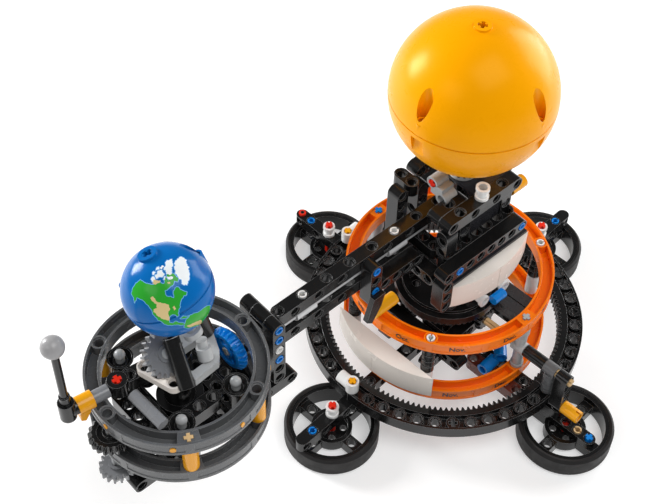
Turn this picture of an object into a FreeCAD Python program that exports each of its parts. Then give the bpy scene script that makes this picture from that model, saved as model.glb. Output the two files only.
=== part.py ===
import FreeCAD, Part
import math
import os

from FreeCAD import Vector as V

os.makedirs("parts", exist_ok=True)

# Driving dimensions, in mm. Origin: central axis at the floor; +Z up; feet on X and Y.
PITCH = 8.0              # hole spacing of every beam
BEAM = 7.8               # beam width and height
PIN_R = 2.4              # pin hole radius
SEAT_R = 3.1             # counterbore at each hole mouth
SEAT_D = 0.8
ARM_TURN = -3.8          # the arm rests this many degrees short of the -X foot

FOOT_R = 96.0            # foot centre from the axis
WHEEL_R = 27.8
WHEEL_H = 14.0
RING_Z = 22.0            # underside of the base ring gear
RING_OUT = 83.5
RING_TEETH = 140         # module 1, internal
MONTH_R = 56.0           # hole circle of the two month rings
MONTH_LOW_Z = 24.5
MONTH_HIGH_Z = 69.0
RAIL_H = 8.0             # height of every channel ring
RAIL_HALF = 4.0          # half its radial width

LEG_Z = 18.0             # centre of the leg and spoke beams
COLUMN_TOP = 74.0
CRANK_Z = 49.4           # height of the crank axle
CRANK_THROW = 24.0

TOWER_X = -30.4          # first pin of the tower's lower beams
TOWER_SIDE = 28.0        # centre of the tower's lower side beams
TOP_SIDE = 20.0          # centre of its upper side beams
LOWER_Z = 122.5
UPPER_Z = 149.9
DECK_Z = 151.9
SUN_Z = 211.0
SUN_R = 43.0
SUN_WELLS = (4.0, 94.0, 184.0, 274.0)
ARM_Z = 138.5            # centre of the arm's upper beam
SHAFT_Z = ARM_Z - PITCH  # the long axle between the two beams
ARM_HOLE = 33.6          # first top hole from the axis
ARM_END = 139.0          # uprights at the arm's end
END_Z = 146.2            # top pin of those uprights
UNDER_Z = 98.2           # beams under the Earth stage

STAGE_X = -192.0         # the Earth's axis
STAGE_R = 40.0           # hole circle of the two phase rings
STAGE_HIGH_Z = 147.0
STAGE_LOW_Z = 123.0
DRIVE_Z = 139.0          # bevel gear axle that enters between the rings
CARRIER_Z = 167.7        # underside of the Earth carrier
EARTH_Z = 212.4
EARTH_R = 20.8
AXIAL_TILT = 23.4
TILT_HEADING = 112.0     # compass heading of the north pole, in the arm's frame
EARTH_WELLS = (-8.0, 60.0, 128.0)
MOON_ARM_Z = 162.0
MOON_R = 5.4
MOON_ORBIT = 55.6
MOON_ANGLE = 171.6
MOON_Z = 211.0

X = V(1, 0, 0)
Y = V(0, 1, 0)
Z = V(0, 0, 1)


# ---------------------------------------------------------------- shape helpers

def box(x0, x1, y0, y1, z0, z1):
    """A block between two corners."""
    return Part.makeBox(x1 - x0, y1 - y0, z1 - z0, V(x0, y0, z0))


def rod(radius, start, end):
    """A round bar from start to end."""
    start = V(*start)
    span = V(*end) - start
    return Part.makeCylinder(radius, span.Length, start, span)


def tube(outer, inner, start, end):
    """A round bar with a through bore."""
    return rod(outer, start, end).cut(rod(inner, start, end))


def cross_bar(start, end, reach=2.22, half=0.88):
    """A cross-section axle from start to end."""
    start = V(*start)
    span = V(*end) - start
    length = span.Length
    bar = Part.makeBox(2 * reach, 2 * half, length, V(-reach, -half, 0))
    bar = bar.fuse(Part.makeBox(2 * half, 2 * reach, length, V(-half, -reach, 0)))
    return place(bar.removeSplitter(), start, span)


def place(shape, at, axis):
    """Move a shape built along +Z so that it stands at a point along an axis."""
    moved = shape.copy()
    turn = FreeCAD.Rotation(Z, V(*axis))
    moved.Placement = FreeCAD.Placement(V(*at), turn)
    return moved


def spin(shape, angle, centre=(0, 0, 0), axis=Z):
    """A copy turned about an axis."""
    turned = shape.copy()
    turned.rotate(V(*centre), axis, angle)
    return turned


def shift(shape, x=0.0, y=0.0, z=0.0):
    """A copy moved by an offset."""
    moved = shape.copy()
    moved.translate(V(x, y, z))
    return moved


def fuse(parts):
    """One solid from overlapping pieces."""
    whole = parts[0]
    if len(parts) > 1:
        whole = whole.multiFuse(parts[1:])
    return whole.removeSplitter()


def pin_hole(at, axis, depth=BEAM):
    """The tool for one pin hole with its two counterbores, centred on at."""
    axis = V(*axis)
    at = V(*at)
    half = axis * (depth / 2)
    tool = rod(PIN_R, at - half - axis, at + half + axis)
    for side in (-1, 1):
        mouth = at + half * side
        tool = tool.fuse(rod(SEAT_R, mouth - axis * side * SEAT_D, mouth + axis * side))
    return tool


def beam(start, end, hole_axis, second_axis=None, size=BEAM, depth=BEAM):
    """A round-ended beam with a pin hole every pitch.

    With a second axis the holes alternate between the two directions.
    """
    start = V(*start)
    end = V(*end)
    hole_axis = V(*hole_axis)
    along = (end - start)
    count = int(round(along.Length / PITCH)) + 1
    along.normalize()
    side = along.cross(hole_axis)
    half = size / 2
    face = start - hole_axis * (depth / 2)
    a = face + side * half
    b = face - side * half
    far = face + (end - start)
    c = far - side * half
    d = far + side * half
    outline = Part.Wire([
        Part.makeLine(d, a),
        Part.Arc(a, face - along * half, b).toShape(),
        Part.makeLine(b, c),
        Part.Arc(c, far + along * half, d).toShape(),
    ])
    solid = Part.Face(outline).extrude(hole_axis * depth)
    holes = []
    for k in range(count):
        axis = hole_axis
        reach = depth
        if second_axis is not None and k % 2 == 1:
            axis = V(*second_axis)
            reach = size
        holes.append(pin_hole(start + along * PITCH * k, axis, reach))
    return solid.cut(holes)


def push_pin(at, axis, length=15.6, collar=True):
    """A friction pin: hollow shank, a collar at mid-length and a slot in each end."""
    at = V(*at)
    axis = V(*axis)
    shank = rod(2.36, at - axis * (length / 2), at + axis * (length / 2))
    if collar:
        shank = shank.fuse(rod(3.0, at - axis * 0.35, at + axis * 0.35))
    shank = shank.cut(rod(1.5, at - axis * length, at + axis * length))
    side = axis.cross(Z) if abs(axis.z) < 0.9 else X
    slot = Part.makeBox(6, 0.8, 3, V(-3, -0.4, -1.5))
    for end in (-1, 1):
        notch = place(slot, at + axis * end * (length / 2), axis)
        shank = shank.cut(notch)
    return shank.removeSplitter()


def collar_bush(at, axis, length=7.6):
    """A bush with a flange at both ends and a cross bore."""
    at = V(*at)
    axis = V(*axis)
    end = at + axis * length
    body = rod(2.9, at, end)
    body = body.fuse(rod(3.8, at, at + axis * 1.8))
    body = body.fuse(rod(3.8, end - axis * 1.8, end))
    return body.cut(rod(2.45, at - axis, end + axis)).removeSplitter()


def gear_blank(teeth, width, module=1.0, shrink=0.12):
    """A toothed disc about +Z, one straight-flanked tooth centred on +X."""
    pitch = teeth * module / 2
    root = pitch - 1.2 * module
    tip = pitch + 0.9 * module
    step = 2 * math.pi / teeth
    root_half = step * 0.36 - shrink / pitch
    tip_half = step * 0.13
    points = []
    for k in range(teeth):
        mid = step * k
        for radius, angle in (
            (root, mid - root_half),
            (tip, mid - tip_half),
            (tip, mid + tip_half),
            (root, mid + root_half),
        ):
            points.append(V(radius * math.cos(angle), radius * math.sin(angle), 0))
    points.append(points[0])
    return Part.Face(Part.makePolygon(points)).extrude(V(0, 0, width))


def gear(teeth, width, bore=2.45, bevel=0.0, hub=0.0, windows=0):
    """A spur gear about +Z from z = 0; bevel chamfers both tooth ends."""
    wheel = gear_blank(teeth, width)
    tip = teeth / 2 + 1.0
    if bevel > 0:
        profile = Part.makePolygon([
            V(0, 0, 0),
            V(tip - bevel, 0, 0),
            V(tip + 0.2, 0, bevel),
            V(tip + 0.2, 0, width - bevel),
            V(tip - bevel, 0, width),
            V(0, 0, width),
            V(0, 0, 0),
        ])
        wheel = wheel.common(Part.Face(profile).revolve(V(0, 0, 0), Z, 360))
    dish = (width - 4.0) / 2
    rim = teeth / 2 - 3.2
    if rim > 5.5 and dish > 0.4:
        for z in (-0.01, width - dish + 0.01):
            recess = rod(rim, (0, 0, z), (0, 0, z + dish))
            recess = recess.cut(rod(4.0, (0, 0, z - 1), (0, 0, z + dish + 1)))
            wheel = wheel.cut(recess)
    if hub > 0:
        wheel = wheel.fuse(rod(4.0, (0, 0, -hub), (0, 0, width + hub)))
    wheel = wheel.cut(rod(bore, (0, 0, -hub - 1), (0, 0, width + hub + 1)))
    ring = (rim + 4.0) / 2
    for k in range(windows):
        a = 2 * math.pi * (k + 0.5) / windows
        x = ring * math.cos(a)
        y = ring * math.sin(a)
        wheel = wheel.cut(rod(1.7, (x, y, -1), (x, y, width + 1)))
    return wheel


def annulus(outer, inner, z0, z1):
    """A flat ring between two heights."""
    return rod(outer, (0, 0, z0), (0, 0, z1)).cut(rod(inner, (0, 0, z0 - 1), (0, 0, z1 + 1)))


def sector(outer, inner, z0, z1, mid, half):
    """Part of a flat ring, half degrees to each side of mid."""
    a = math.radians(half)
    p = V(inner * math.cos(a), -inner * math.sin(a), z0)
    q = V(outer * math.cos(a), -outer * math.sin(a), z0)
    r = V(outer * math.cos(a), outer * math.sin(a), z0)
    s = V(inner * math.cos(a), inner * math.sin(a), z0)
    outline = Part.Wire([
        Part.makeLine(p, q),
        Part.Arc(q, V(outer, 0, z0), r).toShape(),
        Part.makeLine(r, s),
        Part.Arc(s, V(inner, 0, z0), p).toShape(),
    ])
    return spin(Part.Face(outline).extrude(V(0, 0, z1 - z0)), mid)


def channel_ring(radius, z0, labels):
    """A U-channel ring, open upwards, with six hole bosses and label pockets outside."""
    top = z0 + RAIL_H
    ring = annulus(radius + RAIL_HALF, radius - RAIL_HALF, z0, top)
    groove = annulus(radius + RAIL_HALF - 1.2, radius - RAIL_HALF + 1.2, z0 + 2.2, top + 1)
    ring = ring.cut(groove)
    bosses = []
    holes = []
    for k in range(6):
        a = math.radians(60 * k + 30)
        x = radius * math.cos(a)
        y = radius * math.sin(a)
        if k in (1, 4):
            web = sector(radius + RAIL_HALF - 0.6, radius - RAIL_HALF + 0.6, z0 + 1, top - 0.4,
                         60 * k + 30, math.degrees(5.2 / radius))
            bosses.append(web)
            tool = cross_bar((x, y, z0 - 1), (x, y, top + 1), 2.45, 0.95)
            holes.append(spin(tool, 60 * k + 30, (x, y, 0)))
        else:
            bosses.append(rod(3.9, (x, y, z0 + 0.5), (x, y, top)))
            holes.append(rod(PIN_R, (x, y, z0 - 1), (x, y, top + 1)))
            holes.append(rod(SEAT_R, (x, y, top - SEAT_D), (x, y, top + 1)))
    ring = ring.multiFuse(bosses).removeSplitter()
    for k in range(labels):
        mid = 360.0 * (k + 0.5) / labels
        wide = 360.0 / labels * 0.44
        holes.append(sector(radius + RAIL_HALF + 1, radius + RAIL_HALF - 0.35,
                            z0 + 1.6, top - 1.4, mid, wide))
    return ring.cut(holes)


def half_ball(radius, wall, upper, wells, well_r):
    """One hollow half of a globe about the origin, with a pole boss.

    Each well is an upright pocket cut into the upper half, with a ringed pin hole in its floor
    and a notch under it in the lower half.
    """
    side = 1 if upper else -1
    ball = Part.makeSphere(radius, V(0, 0, 0), Z, -90, 90, 360)
    boss = rod(4.6, (0, 0, 0), (0, 0, side * (radius + 0.9)))
    core = Part.makeSphere(radius - wall, V(0, 0, 0), Z, -90, 90, 360)
    core = core.cut(rod(4.6, (0, 0, side * radius), (0, 0, side * radius * 0.25)))
    shell = ball.fuse(boss).cut(core)
    keep = Part.makeBox(4 * radius, 4 * radius, 2 * radius,
                        V(-2 * radius, -2 * radius, 0.06 if upper else -2 * radius - 0.06))
    shell = shell.common(keep)
    seam = annulus(radius + 1, radius - 0.35, 0, 0.45)
    shell = shell.cut(seam if upper else shift(seam, z=-0.45))
    reach = radius - well_r - 0.9
    floor = 5.2
    top = radius * 0.9
    jackets = []
    pockets = []
    rings = []
    tools = []
    for heading in wells:
        if upper:
            jackets.append(spin(rod(well_r + 1.2, (reach, 0, 0.06), (reach, 0, top)), heading))
            pockets.append(spin(rod(well_r, (reach, 0, floor), (reach, 0, top + 5)), heading))
            ring = rod(PIN_R + 1.0, (reach + 1.0, 0, 0.5), (reach + 1.0, 0, floor + 1.6))
            rings.append(spin(ring, heading))
            tools.append(spin(rod(PIN_R, (reach + 1.0, 0, 0.8), (reach + 1.0, 0, top)), heading))
        else:
            pad = box(radius - 4.6, radius, -well_r - 1.0, well_r + 1.0, -radius * 0.42, -0.6)
            jackets.append(spin(pad, heading))
            notch = box(radius - 2.6, radius + 2, -well_r, well_r, -radius * 0.45, -radius * 0.07)
            tools.append(spin(notch, heading))
    if jackets:
        shell = shell.fuse(jackets[0].multiFuse(jackets[1:]).common(ball))
    if upper:
        shell = shell.cut(pockets).multiFuse(rings)
    tools.append(rod(2.45, (0, 0, -2 * radius), (0, 0, 2 * radius)))
    return shell.cut(tools).removeSplitter()


def arm_side(shapes):
    """Turn shapes modelled with the arm along -X to the arm's rest heading."""
    return [spin(shape, ARM_TURN) for shape in shapes]


PIECES = {}


def write(name, shapes, on_arm=False, fitted_to=()):
    """Export one named sub-part, a single solid or a group of separate ones.

    Where a solid seats against an earlier sub-part in fitted_to, it is trimmed to that part's surface.
    """
    neighbours = [solid for other in fitted_to for solid in PIECES[other]]
    fitted = []
    for shape in shapes:
        for solid in neighbours:
            if shape.BoundBox.intersect(solid.BoundBox):
                shape = shape.cut(solid)
        fitted.append(shape)
    shapes = fitted
    PIECES[name] = shapes
    if on_arm:
        shapes = arm_side(shapes)
    whole = shapes[0] if len(shapes) == 1 else Part.makeCompound(shapes)
    whole.exportStep("parts/" + name + ".step")


def four(shape):
    """The same shape at the four feet; it is modelled at the +X foot."""
    return [spin(shape, 90 * k) for k in range(4)]


# ---------------------------------------------------------------- base

def ring_quarter():
    """A quarter of the base ring: inner teeth, outer channel and pin holes."""
    teeth = annulus(RING_OUT, 60, RING_Z, RING_Z + RAIL_H)
    teeth = teeth.cut(shift(gear_void(), z=RING_Z - 1))
    groove = annulus(RING_OUT - 1.4, 74.6, RING_Z + 4.6, RING_Z + RAIL_H + 1)
    ring = teeth.cut(groove)
    bosses = []
    holes = []
    mid = RING_OUT - 4.4
    for k in range(11):
        angle = math.radians(45 + (k - 5) * 7.4)
        x = mid * math.cos(angle)
        y = mid * math.sin(angle)
        bosses.append(rod(3.9, (x, y, RING_Z + 1), (x, y, RING_Z + RAIL_H)))
        if k == 5:
            tool = cross_bar((x, y, RING_Z - 1), (x, y, RING_Z + RAIL_H + 1), 2.45, 0.95)
            holes.append(spin(tool, 45, (x, y, 0)))
        else:
            holes.append(pin_hole((x, y, RING_Z + RAIL_H / 2), (0, 0, 1), RAIL_H))
    ring = ring.multiFuse(bosses)
    wedge = sector(RING_OUT + 1, 60, RING_Z - 1, RING_Z + RAIL_H + 1, 45, 44.95)
    return ring.common(wedge).cut(holes).removeSplitter()


def gear_void():
    """The space inside the internal teeth."""
    return gear_blank(RING_TEETH, RAIL_H + 2, shrink=-0.1)


def wheel_hub():
    """One foot wheel lying flat: rim band, hub and four spokes with pin holes."""
    rim = annulus(WHEEL_R - 3.0, WHEEL_R - 5.2, 1.0, WHEEL_H - 1.0)
    hub = rod(12.0, (0, 0, 2.0), (0, 0, 9.5))
    hub = hub.cut(rod(9.6, (0, 0, 6.5), (0, 0, 11)))
    spokes = []
    holes = [rod(2.45, (0, 0, 0), (0, 0, 14))]
    for k in range(4):
        bar = box(11, WHEEL_R - 4.5, -3.6, 3.6, 2.0, 9.0)
        spokes.append(spin(bar, 90 * k))
        holes.append(spin(pin_hole((16, 0, 5.5), (0, 0, 1), 7.0), 90 * k))
        holes.append(spin(rod(1.9, (6.7, 0, 0), (6.7, 0, 14)), 90 * k + 45))
    solid = rim.multiFuse([hub] + spokes).cut(holes).removeSplitter()
    return shift(solid, x=FOOT_R)


def wheel_tyre():
    """The rubber band round one foot wheel."""
    profile = Part.makePolygon([
        V(WHEEL_R - 2.95, 0, 0.6),
        V(WHEEL_R - 1.4, 0, 0.0),
        V(WHEEL_R, 0, 1.6),
        V(WHEEL_R, 0, WHEEL_H - 1.6),
        V(WHEEL_R - 1.4, 0, WHEEL_H),
        V(WHEEL_R - 2.95, 0, WHEEL_H - 0.6),
        V(WHEEL_R - 2.95, 0, 0.6),
    ])
    return shift(Part.Face(profile).revolve(V(0, 0, 0), Z, 360), x=FOOT_R)


def base():
    """Everything that stands still."""
    quarter = ring_quarter()
    write("ring_gear_quarters", [spin(quarter, 90 * k) for k in range(4)])
    write("foot_wheels", four(wheel_hub()))
    write("foot_tyres", four(wheel_tyre()))

    low = LEG_Z
    free = (0, 90, 180)                       # the feet away from the crank
    leg = beam((FOOT_R - 16, 0, low), (FOOT_R + 24, 0, low), (0, 0, 1), (0, 1, 0))
    short = beam((FOOT_R - 16, 0, low - 0.6), (FOOT_R - 8, 0, low - 0.6), (0, 0, 1), depth=6.6)
    link = beam((FOOT_R - 16, 0, low - 6.2), (FOOT_R + 16, 0, low - 6.2), (0, 0, 1), depth=4.2)
    write("leg_beams", [spin(leg, a) for a in free] + [spin(short, 270), spin(link, 270)])
    bush = collar_bush((FOOT_R, 0, low + 4.0), (0, 0, 1))
    parts = [spin(bush, a) for a in free] + [spin(leg_clamp(), a) for a in (90, 180)]
    write("leg_connectors", parts)
    axle = cross_bar((FOOT_R, 0, 2.4), (FOOT_R, 0, low + 13.4))
    stub = cross_bar((FOOT_R, 0, 2.4), (FOOT_R, 0, 10.4))
    cap = cross_bar((79.8, 0, 30.3), (79.8, 0, 38.8))
    parts = [spin(axle, a) for a in free] + [spin(stub, 270)] + [spin(cap, a) for a in (90, 180)]
    write("leg_axles", parts)
    pin = push_pin((FOOT_R + 16, 0, low), (0, 0, 1), 8.3, False)
    tip = cross_bar((FOOT_R + 16, 0, 9.8), (FOOT_R + 16, 0, 15.8))
    bush_pin = push_pin((FOOT_R + 8, 0, low - 6.0), (0, 0, 1), 4.8, False)
    tie = tube(3.8, 2.4, (-14.0, -43.0, 26.2), (-3.0, -43.0, 26.2))
    tie_end = tube(3.8, 2.4, (-3.0, -47.0, 31.0), (5.0, -40.0, 31.0))
    write("base_pins", [spin(pin, a) for a in free] + [spin(tip, 270), spin(bush_pin, 270), tie, tie_end])

    spoke = beam((16, 0, low), (72, 0, low), (0, 0, 1), (0, 1, 0))
    side = beam((-8.2, -32, low), (-8.2, -64, low), (0, 0, 1))
    rail = beam((-32, 0, low + PITCH + 0.1), (32, 0, low + PITCH + 0.1), (0, 1, 0))
    post = tube(3.9, 2.45, (0, 0, 30.1), (0, 0, 40.0))
    corners = [(x, y) for x in (-16, 16) for y in (-16, 16)]
    posts = [shift(post, x=x, y=y) for x, y in corners]
    cradle = [beam((x, -32, 34.3), (x, 32, 34.3), (1, 0, 0)) for x in (-24.2, 24.2)]
    cradle.append(beam((-24, 24.2, 42.4), (24, 24.2, 42.4), (0, 1, 0)))
    cradle.append(beam((-24, -22.2, 42.4), (24, -22.2, 42.4), (0, 1, 0)))
    rails = [shift(rail, y=-16), shift(rail, y=16)]
    write("base_beams", four(spoke) + [side] + rails + posts + cradle)

    hub = fuse([
        box(-20, 20, -20, 20, 40.1, 43.0),
        rod(7.9, (0, 0, 14.2), (0, 0, 43.0)),
        rod(11.9, (0, 0, 14.2), (0, 0, 21.9)),
    ])
    holes = [pin_hole((x, y, 41.55), (0, 0, 1), 2.9) for x, y in corners]
    write("centre_bearing", [hub.cut([rod(4.0, (0, 0, 13), (0, 0, 44))] + holes)], fitted_to=["base_beams"])
    write("centre_column", [rod(3.95, (0, 0, 12.0), (0, 0, COLUMN_TOP))])
    inner_rail = box(11.1, 18.9, -50, -14, 48.0, 55.8)
    inner_rail = inner_rail.fuse(box(11.1, 18.9, -19.9, -14, 43.1, 48.1)).removeSplitter()
    outer_rail = box(19.7, 27.5, -50, -14, 48.0, 55.8)

    write("lower_month_ring", [channel_ring(MONTH_R, MONTH_LOW_Z, 12)])
    write("upper_month_ring", [channel_ring(MONTH_R, MONTH_HIGH_Z, 12)])
    ring_posts()
    write("lower_crescent", [spin(crescent(MONTH_LOW_Z + RAIL_H + 0.1, 17.0, 52.7), 180)])

    stand = rod(3.9, (0, -79.0, 30.1), (0, -79.0, CRANK_Z - 3.0))
    stand = stand.fuse(rod(4.0, (0, -82.5, CRANK_Z), (0, -74.9, CRANK_Z)))
    bore = rod(2.43, (0, -90, CRANK_Z), (0, -70, CRANK_Z))
    write("crank_stand", [stand.cut(bore).removeSplitter(), inner_rail, outer_rail], fitted_to=["base_beams"])


def leg_clamp():
    """A short angled connector: one cross socket upright and one lying across it."""
    body = rod(3.9, (79.8, 0, 30.1), (79.8, 0, 38.0))
    body = body.fuse(rod(3.8, (79.8, -9.5, 34.2), (79.8, 0, 34.2)))
    tools = [
        rod(2.45, (79.8, 0, 29), (79.8, 0, 40)),
        rod(2.4, (79.8, -10, 34.2), (79.8, -4.0, 34.2)),
    ]
    return body.cut(tools).removeSplitter()


def ring_posts():
    """Posts between the two month rings, and the axles and pins that hold them."""
    low = MONTH_LOW_Z + RAIL_H + 0.05
    high = MONTH_HIGH_Z - 0.05
    middle = low + 15.8
    sides = (30, 150, 210, 330)
    foot = tube(3.7, 2.4, (MONTH_R, 0, low), (MONTH_R, 0, middle))
    head = tube(3.9, 2.4, (MONTH_R, 0, middle + 0.1), (MONTH_R, 0, high))
    for z in (middle + 5, middle + 10, middle + 15):
        head = head.cut(tube(4.5, 3.5, (MONTH_R, 0, z), (MONTH_R, 0, z + 1.6)))
    write("ring_posts", [spin(foot, a) for a in sides] + [spin(head, a) for a in sides])

    guide = rod(3.2, (MONTH_R, 0, low), (MONTH_R, 0, high))
    guide = guide.fuse(rod(3.9, (MONTH_R, 0, low), (MONTH_R, 0, low + 2)))
    guide = guide.fuse(rod(3.9, (MONTH_R, 0, high - 6), (MONTH_R, 0, high - 1)))
    guide = guide.fuse(rod(3.9, (MONTH_R - 4.2, 0, CRANK_Z), (MONTH_R + 4.2, 0, CRANK_Z)))
    guide = guide.cut(rod(2.43, (MONTH_R - 9, 0, CRANK_Z), (MONTH_R + 9, 0, CRANK_Z)))
    write("axle_guides", [spin(guide.removeSplitter(), a) for a in (90, 270)])

    pin = push_pin((MONTH_R, 0, MONTH_HIGH_Z + 4.2), (0, 0, 1), 8.2, False)
    cap = cross_bar((MONTH_R, 0, MONTH_HIGH_Z + 0.2), (MONTH_R, 0, MONTH_HIGH_Z + 8.4))
    write("ring_pins", [spin(pin, a) for a in sides] + [spin(cap, a) for a in (90, 270)])


def crescent(z0, height, chord):
    """A solid circular segment bulging along +X, its flat face at x = chord: a season marker."""
    outer = rod(64.0, (0, 0, z0), (0, 0, z0 + height))
    block = box(chord, 70, -40, 40, z0 - 1, z0 + height + 1)
    groove = annulus(66, 63.6, z0 - 1, z0 + height + 1)
    groove = groove.common(box(50, 70, -0.12, 0.12, z0 - 1, z0 + height + 1))
    return outer.common(block).cut(groove)


def crank():
    """The hand crank: axle, black sleeve, lever, grip and the pinion inside."""
    z = CRANK_Z
    low = z - CRANK_THROW
    sleeve = tube(3.8, 2.45, (0, -74.7, z), (0, -60.4, z))
    write("crank_axle", [cross_bar((0, -92.9, z), (0, -25.5, z), 2.2), sleeve])
    write("crank_lever", [beam((0, -87.6, z), (0, -87.6, low), (0, 1, 0))])
    grip = tube(3.8, 2.4, (0, -102.9, low), (0, -91.6, low))
    grip = grip.cut(box(-0.5, 0.5, -105, -100, low, low + 5))
    write("crank_grip", [grip])
    write("crank_pinion", [place(gear(12, 4.0, 2.45, bevel=1.2), (0, -31.0, z), (0, 1, 0))])


# ---------------------------------------------------------------- tower and arm

def turntable():
    """The turntable that runs on the centre column, with face teeth below."""
    disc = rod(31.0, (0, 0, 58.0), (0, 0, 63.0))
    disc = disc.fuse(rod(7.9, (0, 0, 58.0), (0, 0, COLUMN_TOP + 1)))
    disc = disc.fuse(rod(27.0, (0, 0, 63.0), (0, 0, 65.0)))
    teeth = [spin(box(24.6, 30.6, -0.75, 0.75, 56.5, 58.5), 360 / 56 * k) for k in range(56)]
    disc = disc.multiFuse(teeth)
    holes = [rod(4.0, (0, 0, 50), (0, 0, COLUMN_TOP + 2))]
    for k in range(8):
        hole = rod(PIN_R, (20, 0, 50), (20, 0, 66))
        holes.append(spin(hole, 45 * k + 22.5))
    write("turntable", [disc.cut(holes).removeSplitter()], True)


def tower():
    """The turning tower between the turntable and the Sun."""
    left = TOWER_X - PITCH
    right = TOWER_X + 6 * PITCH
    posts = []
    for x in (-16, 16):
        for y in (-16, 16):
            posts.append(beam((x, y, 69.0), (x, y, 141.0), (0, 1, 0), (1, 0, 0)))
    posts.append(beam((-36.0, 12.0, 104.0), (-36.0, 12.0, 152.0), (0, 1, 0)))
    posts.append(beam((left, -TOWER_SIDE, LOWER_Z - 24), (left, -TOWER_SIDE, LOWER_Z - 8), (0, 1, 0)))
    posts.append(beam((TOWER_X, -TOP_SIDE, LOWER_Z + 8), (TOWER_X, -TOP_SIDE, UPPER_Z - 8.2), (1, 0, 0)))
    write("tower_uprights", posts, True)

    write("tower_rails", [
        beam((left, -TOWER_SIDE, LOWER_Z), (right, -TOWER_SIDE, LOWER_Z), (0, 1, 0)),
        beam((right - 32, TOWER_SIDE, LOWER_Z), (right, TOWER_SIDE, LOWER_Z), (0, 1, 0)),
        beam((TOWER_X, -TOP_SIDE, UPPER_Z), (right, -TOP_SIDE, UPPER_Z), (0, 1, 0), (0, 0, 1)),
        beam((TOWER_X, -TOP_SIDE + 8, UPPER_Z), (TOWER_X + 16, -TOP_SIDE + 8, UPPER_Z), (0, 1, 0), (0, 0, 1)),
        beam((right - 32, TOP_SIDE, UPPER_Z), (right, TOP_SIDE, UPPER_Z), (0, 1, 0)),
        beam((left, -20, LOWER_Z - PITCH), (left, 4, LOWER_Z - PITCH), (1, 0, 0)),
        beam((right + 4.0, -20, LOWER_Z - PITCH), (right + 4.0, 20, LOWER_Z - PITCH), (1, 0, 0)),
        beam((left + 8.2, -20.0, LOWER_Z), (right, -20.0, LOWER_Z), (0, 0, 1)),
        beam((left + 8.2, -12.0, LOWER_Z), (left + 8.2, 12.0, LOWER_Z), (0, 0, 1)),
        beam((-26.0, 12.0, UPPER_Z), (-26.0, 20.0, UPPER_Z), (0, 0, 1)),
    ], True, ["tower_uprights"])

    face = box(TOWER_X + 4.1, right + 2, -TOP_SIDE + 1.0, -TOP_SIDE + 2.8, LOWER_Z + 4.1, UPPER_Z - 4.1)
    deck = box(-8.0, right + 3.9, -15.9, 15.9, DECK_Z, DECK_Z + 1.9)
    holes = [rod(4.0, (0, 0, 140), (0, 0, 160))]
    for x in (8, 16):
        holes.append(rod(PIN_R, (x, -10, 140), (x, -10, 160)))
    back = box(-30, 30, -27.5, -25.0, 86.0, 106.0)
    write("tower_panels", [face, deck.cut(holes).removeSplitter(), back], True, ["tower_uprights", "tower_rails"])

    z = DECK_Z + 1.95
    elbow = rod(3.9, (-23, 0.5, z + 5.8), (-14.5, 0.5, z + 5.8))
    elbow = elbow.fuse(rod(3.9, (-23, -6.6, z - 1.0), (-14.5, -6.6, z - 1.0)))
    elbow = elbow.fuse(box(-23, -14.5, -7.0, 1.0, z - 1.0, z + 5.8).common(
        rod(9.6, (-23, -3.0, z + 2.4), (-14.5, -3.0, z + 2.4))))
    elbow = elbow.cut([
        rod(2.45, (-24, 0.5, z + 5.8), (-13, 0.5, z + 5.8)),
        rod(2.45, (-24, -6.6, z - 1.0), (-13, -6.6, z - 1.0)),
    ]).removeSplitter()
    write("deck_fittings", [
        elbow,
        cross_bar((-23.4, 0.5, z + 5.8), (-14.5, 0.5, z + 5.8)),
        collar_bush((TOWER_X + 24, -TOP_SIDE, UPPER_Z + 4.0), (0, 0, 1), 7.8),
        collar_bush((-1.0, -20.2, 69.0), (0, -1, 0), 9.6),
        collar_bush((15.6, -20.2, 69.0), (0, -1, 0), 9.6),
        rod(3.0, (3.0, -32.0, 69.0), (12.0, -32.0, 69.0)),
        tube(7.8, 2.45, (0, 0, z), (0, 0, z + 4.6)),
    ], True, ["tower_uprights", "tower_rails", "tower_panels"])
    season = spin(shift(crescent(87.5, 17.0, 56.0), x=-28.4), -90)
    write("upper_crescent", [season], True)


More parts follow.
